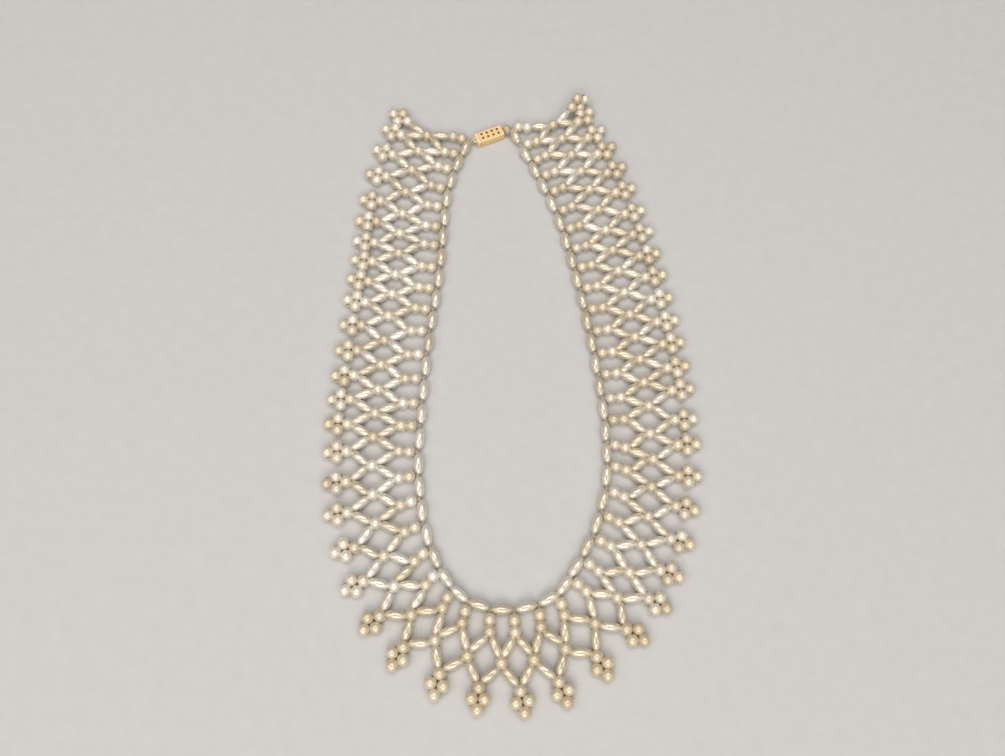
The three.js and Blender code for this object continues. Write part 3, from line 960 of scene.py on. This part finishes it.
# %% Fine lines: streaks that run along the piece's own Z or X
tree, given, made = group_tree(
    "fine lines",
    [("Place", VECTOR, None), ("Stretch", VECTOR, (1, 1, 0.1)), ("Fineness", FLOAT, 4.0)],
    [("Height", FLOAT), ("Line", FLOAT)],
)
stretched = add(tree, "ShaderNodeVectorMath", [
    (0, given.outputs["Place"]), (1, given.outputs["Stretch"]),
], operation="MULTIPLY").outputs[0]
noise = add(tree, "ShaderNodeTexNoise", [
    ("Vector", stretched), ("Scale", given.outputs["Fineness"]), ("Detail", 4.0), ("Roughness", 0.6),
])
line = ranged(tree, noise.outputs[0], From_Min=0.42, From_Max=0.62)
tree.links.new(noise.outputs[0], made.inputs["Height"])
tree.links.new(line, made.inputs["Line"])
fine_lines = tree

# %% Rubbed edge: a broken band where the finish is thin
tree, given, made = group_tree(
    "rubbed edge",
    [
        ("Place", VECTOR, None), ("Edge", FLOAT, 0.0), ("Color", COLOR, WHITE), ("Bare", COLOR, WHITE),
        ("Break Size", FLOAT, 0.4), ("Amount", FLOAT, 0.5),
    ],
    [("Color", COLOR), ("Mask", FLOAT)],
)
scale = maths(tree, "DIVIDE", 1.0, given.outputs["Break Size"])
noise = add(tree, "ShaderNodeTexNoise", [
    ("Vector", given.outputs["Place"]), ("Scale", scale), ("Detail", 2.0),
])
broken = maths(tree, "ADD", given.outputs["Edge"], maths(tree, "SUBTRACT", noise.outputs[0], 0.5))
band = ranged(tree, broken, From_Min=0.35, From_Max=0.9)
mask = maths(tree, "MULTIPLY", band, given.outputs["Amount"], clamp=True)
tree.links.new(mixed(tree, mask, given.outputs["Color"], given.outputs["Bare"]), made.inputs["Color"])
tree.links.new(mask, made.inputs["Mask"])
rubbed_edge = tree


# %% Helpers that start a material and read a stored value
def start_material(name, sockets):
    """A material with one Principled shader. Numbers that are the same all over sit on its own sockets."""
    material = bpy.data.materials.new(name)
    material.use_nodes = True
    tree = material.node_tree
    shader = tree.nodes["Principled BSDF"]
    for label, value in sockets.items():
        shader.inputs[label].default_value = value
    return material, tree, shader


def stored(tree, name):
    node = add(tree, "ShaderNodeAttribute", attribute_name=name)
    return node.outputs["Vector"] if name == "own_place" else node.outputs["Fac"]


def effect(tree, group, **values):
    node = tree.nodes.new("ShaderNodeGroup")
    node.node_tree = group
    for label, value in values.items():
        socket = node.inputs[label.replace("_", " ")]
        if isinstance(value, bpy.types.NodeSocket):
            tree.links.new(value, socket)
        else:
            socket.default_value = value
    return node


def bump(tree, shader, height, distance, strength=1.0):
    node = add(tree, "ShaderNodeBump", [("Height", height), ("Distance", distance), ("Strength", strength)])
    tree.links.new(node.outputs[0], shader.inputs["Normal"])


# %% [markdown]
# ## Pearl lacquer on the round beads
# Imitation pearl is a plastic or glass bead dipped again and again in a lacquer full of tiny plates.
# Light comes back partly from the cream colour inside and partly from the plates, which act like a soft
# mirror. So the shader is part metallic, with a clear coat over it and a little scattering under it.

# %% Round pearl
round_pearl, tree, shader = start_material("round_pearl", {
    "IOR": 1.5, "Coat Roughness": 0.16, "Subsurface Weight": 0.12,
    "Subsurface Radius": (1.0, 0.75, 0.5), "Subsurface Scale": 0.6 * MM,
})
place = stored(tree, "own_place")
# Painted light and shade: the colour darkens with a bead's tone and lightens with its lean to the cooler
# tone. Both are partly random and partly set by region, the front darkest.
tone_and_painted_shade = maths(tree, "MULTIPLY", maths(tree, "POWER", stored(tree, "bead_tone"), 2.0), 0.6)
tone = effect(
    tree, cloudy_tone, Place=place, Tone=stored(tree, "silver"), Shade=tone_and_painted_shade, Cloud_Size=1.6, Cloud_Amount=0.5,
    Warm=(0.79, 0.68, 0.49, 1), Cool=(0.89, 0.84, 0.76, 1), Deep=(0.58, 0.47, 0.31, 1),
)
rim = effect(
    tree, rubbed_edge, Place=place, Edge=stored(tree, "rim"), Color=tone.outputs["Color"],
    Bare=(0.50, 0.33, 0.14, 1), Break_Size=0.35, Amount=0.8,
)
tree.links.new(rim.outputs["Color"], shader.inputs["Base Color"])
shine = maths(tree, "MULTIPLY", maths(tree, "SUBTRACT", 1.0, rim.outputs["Mask"]), 0.36)
tree.links.new(shine, shader.inputs["Metallic"])
rough = ranged(tree, tone.outputs["Cloud"], To_Min=0.27, To_Max=0.42)
tree.links.new(rough, shader.inputs["Roughness"])
coat = ranged(tree, stored(tree, "bead_tone"), To_Min=0.7, To_Max=0.35)
tree.links.new(coat, shader.inputs["Coat Weight"])
bump(tree, shader, tone.outputs["Cloud"], 0.02 * MM, 0.5)

# %% [markdown]
# ## Pearl lacquer on the rice beads
# The rice beads lean a little further to the cool tone, and the lacquer has run along them, so that fine
# lines follow each bead from hole to hole. The same groups serve, with the lines added to colour and
# height.

# %% Rice pearl
rice_pearl, tree, shader = start_material("rice_pearl", {
    "IOR": 1.5, "Coat Roughness": 0.13, "Subsurface Weight": 0.08,
    "Subsurface Radius": (1.0, 0.8, 0.6), "Subsurface Scale": 0.5 * MM,
})
place = stored(tree, "own_place")
# Painted light and shade: the colour darkens with a bead's tone and lightens with its lean to the cooler
# tone. Both are partly random and partly set by region, the front darkest.
tone_and_painted_shade = maths(tree, "MULTIPLY", maths(tree, "POWER", stored(tree, "bead_tone"), 2.0), 0.55)
tone = effect(
    tree, cloudy_tone, Place=place, Tone=stored(tree, "silver"), Shade=tone_and_painted_shade, Cloud_Size=2.2, Cloud_Amount=0.5,
    Warm=(0.77, 0.67, 0.50, 1), Cool=(0.85, 0.80, 0.73, 1), Deep=(0.56, 0.47, 0.32, 1),
)
lines = effect(tree, fine_lines, Place=place, Stretch=(1, 1, 0.12), Fineness=3.2)
streak = maths(tree, "MULTIPLY", lines.outputs["Line"], 0.1)
streaked = mixed(tree, streak, tone.outputs["Color"], (0.52, 0.45, 0.36, 1))
rim = effect(
    tree, rubbed_edge, Place=place, Edge=stored(tree, "rim"), Color=streaked,
    Bare=(0.48, 0.33, 0.16, 1), Break_Size=0.35, Amount=0.7,
)
tree.links.new(rim.outputs["Color"], shader.inputs["Base Color"])
shine = maths(tree, "MULTIPLY", maths(tree, "SUBTRACT", 1.0, rim.outputs["Mask"]), 0.4)
tree.links.new(shine, shader.inputs["Metallic"])
rough = ranged(tree, lines.outputs["Line"], To_Min=0.22, To_Max=0.34)
tree.links.new(rough, shader.inputs["Roughness"])
coat = ranged(tree, stored(tree, "bead_tone"), To_Min=0.75, To_Max=0.4)
tree.links.new(coat, shader.inputs["Coat Weight"])
bump(tree, shader, lines.outputs["Height"], 0.03 * MM, 0.4)

# %% [markdown]
# ## Thread
# The thread is twisted from two plies. A stored angle and length let the shader draw the twist: twice the
# angle plus the length, through a sine, climbs round the strand as the plies do. The colour darkens along
# the grooves between the plies as painted shade.

# %% Cream thread
TWIST_PER_MM = 9.0
cream_thread, tree, shader = start_material("cream_thread", {
    "Roughness": 0.75, "Sheen Weight": 0.3, "Sheen Roughness": 0.4,
})
place = stored(tree, "own_place")
parts = add(tree, "ShaderNodeSeparateXYZ", [(0, place)])
angle = maths(tree, "ARCTAN2", parts.outputs[1], parts.outputs[0])
twice = maths(tree, "MULTIPLY", angle, 2.0)
climb = maths(tree, "ADD", twice, maths(tree, "MULTIPLY", parts.outputs[2], TWIST_PER_MM))
ply = maths(tree, "SINE", climb)
# Painted shade: the thread's colour darkens where the sine is low, in the grooves between the plies.
shade = ranged(tree, ply, From_Min=-1.0, From_Max=0.4)
ply_tone_with_groove_shade = mixed(tree, shade, (0.42, 0.30, 0.15, 1), (0.78, 0.66, 0.43, 1))
tree.links.new(ply_tone_with_groove_shade, shader.inputs["Base Color"])
bump(tree, shader, ply, 0.04 * MM)

# %% [markdown]
# ## Gilt
# The clasp is brass with a thin gilt wash: warm and satin on the flats, brushed along its length, paler
# and brighter where fingers rub the edges, and darkened in and round the pierced dots, partly by soiling and
# partly as painted shade of the holes. Distances to the box's edges and dots come straight from each point's
# own place, so no texture image is needed.

# %% Satin gilt
gilt, tree, shader = start_material("satin_gilt", {"Coat Weight": 0.1, "Coat Roughness": 0.2})
place = stored(tree, "own_place")
parts = add(tree, "ShaderNodeSeparateXYZ", [(0, place)])
box_middle = (box_start + box_end) / 2 / MM
from_middle = maths(tree, "ABSOLUTE", maths(tree, "SUBTRACT", parts.outputs[0], box_middle))
to_end = maths(tree, "SUBTRACT", (box_end - box_start) / 2 / MM, from_middle)
to_side = maths(tree, "SUBTRACT", CLASP_WIDTH / 2 / MM, maths(tree, "ABSOLUTE", parts.outputs[1]))
to_top = maths(tree, "SUBTRACT", CLASP_HEIGHT / MM, parts.outputs[2])
nearest = maths(tree, "MINIMUM", to_end, to_side)
off_edge = maths(tree, "MULTIPLY", maths(tree, "ADD", nearest, to_top), 1.1)
edge = maths(tree, "SUBTRACT", 1.0, off_edge, clamp=True)
from_dots = maths(tree, "SUBTRACT", parts.outputs[0], DOT_SHIFT / MM)
from_dots = maths(tree, "MINIMUM", maths(tree, "MAXIMUM", from_dots, -2 * DOT_PITCH / MM), 2 * DOT_PITCH / MM)
across_dot = maths(tree, "PINGPONG", from_dots, DOT_PITCH / 2 / MM)
dot_x = maths(tree, "SUBTRACT", DOT_PITCH / 2 / MM, across_dot)
dot_y = maths(tree, "SUBTRACT", maths(tree, "ABSOLUTE", parts.outputs[1]), DOT_ROW_PITCH / 2 / MM)
square_x = maths(tree, "POWER", dot_x, 2.0)
square_y = maths(tree, "POWER", maths(tree, "ABSOLUTE", dot_y), 2.0)
to_dot = maths(tree, "SQRT", maths(tree, "ADD", square_x, square_y))
# Painted shade: the colour darkens in and round the pierced dots, partly soiling and partly the shade inside
# the holes.
grime_and_dot_shade = ranged(tree, to_dot, From_Min=0.62, From_Max=0.4)
brushed = effect(tree, fine_lines, Place=place, Stretch=(0.12, 1, 1), Fineness=5.0)
tone = effect(
    tree, cloudy_tone, Place=place, Tone=0.4, Cloud_Size=1.3, Cloud_Amount=1.2,
    Warm=(0.93, 0.66, 0.30, 1), Cool=(1.0, 0.79, 0.46, 1),
)
worn = effect(
    tree, rubbed_edge, Place=place, Edge=edge, Color=tone.outputs["Color"],
    Bare=(1.0, 0.83, 0.54, 1), Break_Size=0.6, Amount=0.8,
)
# Partly soiling and partly painted shade: a near-black brown mixed in by the dots' mask.
dirt_and_dot_shade = maths(tree, "MULTIPLY", grime_and_dot_shade, 0.75)
dirty_and_dot_shaded = mixed(tree, dirt_and_dot_shade, worn.outputs["Color"], (0.16, 0.075, 0.03, 1))
tree.links.new(dirty_and_dot_shaded, shader.inputs["Base Color"])
clean = maths(tree, "SUBTRACT", 0.7, maths(tree, "MULTIPLY", grime_and_dot_shade, 0.4))
tree.links.new(clean, shader.inputs["Metallic"])
rough = ranged(tree, brushed.outputs["Line"], To_Min=0.54, To_Max=0.68)
tree.links.new(rough, shader.inputs["Roughness"])
bump(tree, shader, brushed.outputs["Height"], 0.02 * MM, 0.7)

# %% [markdown]
# ## Clouded bead
# The bead beside the clasp is cheap blush plastic: light goes into it, scatters, and comes out pink. A
# scattering shader with pale clouds is enough, since nothing can be seen through it.

# %% Clouded plastic
clouded, tree, shader = start_material("clouded_plastic", {
    "Roughness": 0.3, "Subsurface Weight": 0.8, "Subsurface Radius": (1.0, 0.7, 0.55),
    "Subsurface Scale": 1.2 * MM, "Coat Weight": 0.4, "Coat Roughness": 0.12,
})
place = stored(tree, "own_place")
tone = effect(
    tree, cloudy_tone, Place=place, Tone=0.45, Cloud_Size=0.9, Cloud_Amount=1.4,
    Warm=(0.48, 0.35, 0.26, 1), Cool=(0.63, 0.53, 0.42, 1),
)
rim = effect(
    tree, rubbed_edge, Place=place, Edge=stored(tree, "rim"), Color=tone.outputs["Color"],
    Bare=(0.35, 0.2, 0.14, 1), Break_Size=0.4, Amount=0.7,
)
tree.links.new(rim.outputs["Color"], shader.inputs["Base Color"])
bump(tree, shader, tone.outputs["Cloud"], 0.05 * MM, 0.6)

# %% [markdown]
# ## Dressing the solids
# Each new piece takes its finish, rides on the one body there is, and hides the solid that it stands for.


# %% Finish, body, and the solid that each piece stands for
def dress(obj, material, slot, *stands_for):
    obj.data.materials.clear()
    obj.data.materials.append(material)
    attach(obj, "root")
    if stands_for:
        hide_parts(*stands_for)


for half, (half_rounds, half_rices) in halves.items():
    dress(half_rounds, round_pearl, "round_pearl", f"net_{half}")
    dress(half_rices, rice_pearl, "rice_pearl", f"net_{half}")
    dress(net_threads[half], cream_thread, "thread", f"net_{half}")
dress(neck_beads, rice_pearl, "rice_pearl", "neck_string")
dress(neck_thread, cream_thread, "thread", "neck_string")
dress(clasp_case, gilt, "gilt", "clasp_box")
dress(clasp_plate, gilt, "gilt", "clasp_tongue")
dress(clasp_lug, gilt, "gilt", "clasp_tongue")
dress(clasp_spring, gilt, "gilt", "clasp_tongue")
dress(clouded_bead, clouded, "clouded_bead", "end_bead")

# %% [markdown]
# ## Floor and light
# Pearls are soft mirrors, so the light is half of their look. In the picture each bead has a bright patch
# with a small dark mark in it: lamps overhead, with a dark gap between them. Soft boxes laid round a gap
# over the camera give the same mark, drawn out along each rice bead.

# %% Pale floor
FLOOR_SIDE = 4.0
floor_mesh = bpy.data.meshes.new("floor")
half_side = FLOOR_SIDE / 2
floor_corners = [(x * half_side, y * half_side, 0) for x, y in ((-1, -1), (1, -1), (1, 1), (-1, 1))]
floor_mesh.from_pydata(floor_corners, [], [(0, 1, 2, 3)])
floor = bpy.data.objects.new("floor", floor_mesh)
bpy.context.scene.collection.objects.link(floor)
floor_material, tree, shader = start_material("pale_floor", {"Roughness": 0.9, "Specular IOR Level": 0.2})
noise = add(tree, "ShaderNodeTexNoise", [("Scale", 900.0), ("Detail", 4.0)])
floor_tone = mixed(tree, noise.outputs[0], (0.57, 0.565, 0.56, 1), (0.63, 0.625, 0.62, 1))
tree.links.new(floor_tone, shader.inputs["Base Color"])
floor_mesh.materials.append(floor_material)


# %% Soft boxes round a gap, and a pale surround
def soft_box(name, place, size, watts, colour):
    """A lamp that faces the middle of the necklace."""
    data = bpy.data.lights.new(name, "AREA")
    data.shape = "RECTANGLE"
    data.size, data.size_y = size
    data.energy = watts
    data.color = colour
    lamp = bpy.data.objects.new(name, data)
    bpy.context.scene.collection.objects.link(lamp)
    lamp.location = place
    lamp.rotation_euler = (Vector((0, 0, 0)) - Vector(place)).to_track_quat("-Z", "Y").to_euler()


WARM_WHITE = (1.0, 0.95, 0.88)
# Name, place and size in metres, and watts
LAMPS = [
    ("front_box", (0.0, -0.86, 0.83), (0.9, 0.6), 6.1),
    ("back_box", (0.0, 0.35, 1.15), (0.9, 0.45), 5.2),
    ("left_box", (-0.75, -0.3, 1.0), (0.5, 0.9), 3.5),
    ("right_box", (0.75, -0.3, 1.0), (0.5, 0.9), 2.0),
]
for lamp_row in LAMPS:
    soft_box(*lamp_row, WARM_WHITE)

world = bpy.data.worlds.new("surround")
world.use_nodes = True
background = world.node_tree.nodes["Background"]
background.inputs["Color"].default_value = (0.9, 0.93, 1.0, 1)
background.inputs["Strength"].default_value = 0.26
bpy.context.scene.world = world
bpy.context.scene.view_settings.view_transform = "Standard"
